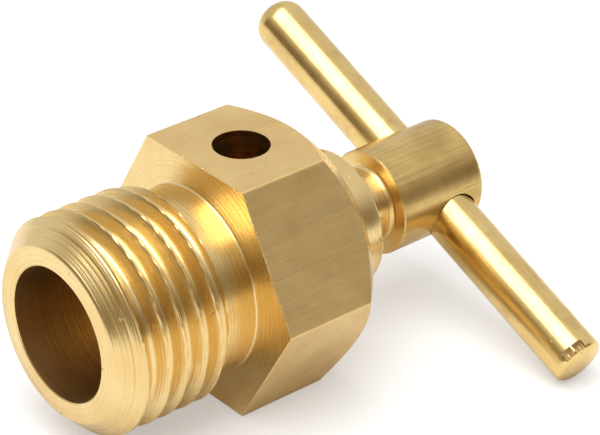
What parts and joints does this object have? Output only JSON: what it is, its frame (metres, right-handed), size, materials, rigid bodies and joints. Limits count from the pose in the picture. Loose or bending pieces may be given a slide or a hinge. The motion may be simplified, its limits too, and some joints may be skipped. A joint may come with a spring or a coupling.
{
  "type": "drain tap",
  "caption": "Small brass drain tap with a male pipe thread, hexagon body, drain hole and a screwed spindle turned by a sliding tommy bar.",
  "frame": {"origin": "centre of the inlet end face, on the axis of the inlet bore and the pipe thread", "axes": "+X along the tap's axis from the inlet end to the handle, +Z out of the flat that has the drain hole"},
  "size_m": [0.0472, 0.0466, 0.0238],
  "materials": {
    "turned_brass": "turned bright, drawn flats satin",
    "drawn_brass": "drawn bar, lengthwise streaks",
    "polished_brass": "polished"
  },
  "bodies": {
    "body": {"body": "turned_brass"},
    "spindle": {"spindle": "drawn_brass"},
    "bar": {"tommy_bar": "polished_brass"}
  },
  "joints": [
    {"name": "spindle_turn", "type": "hinge", "parent": "body", "child": "spindle", "pos_m": [0.029, 0, 0], "axis": [1, 0, 0], "range_deg": [0, 1080]},
    {"name": "bar_slide", "type": "slide", "parent": "spindle", "child": "bar", "axis": [0, 0.9198, 0.3923], "range_m": [-0.0175, 0.0175]}
  ]
}
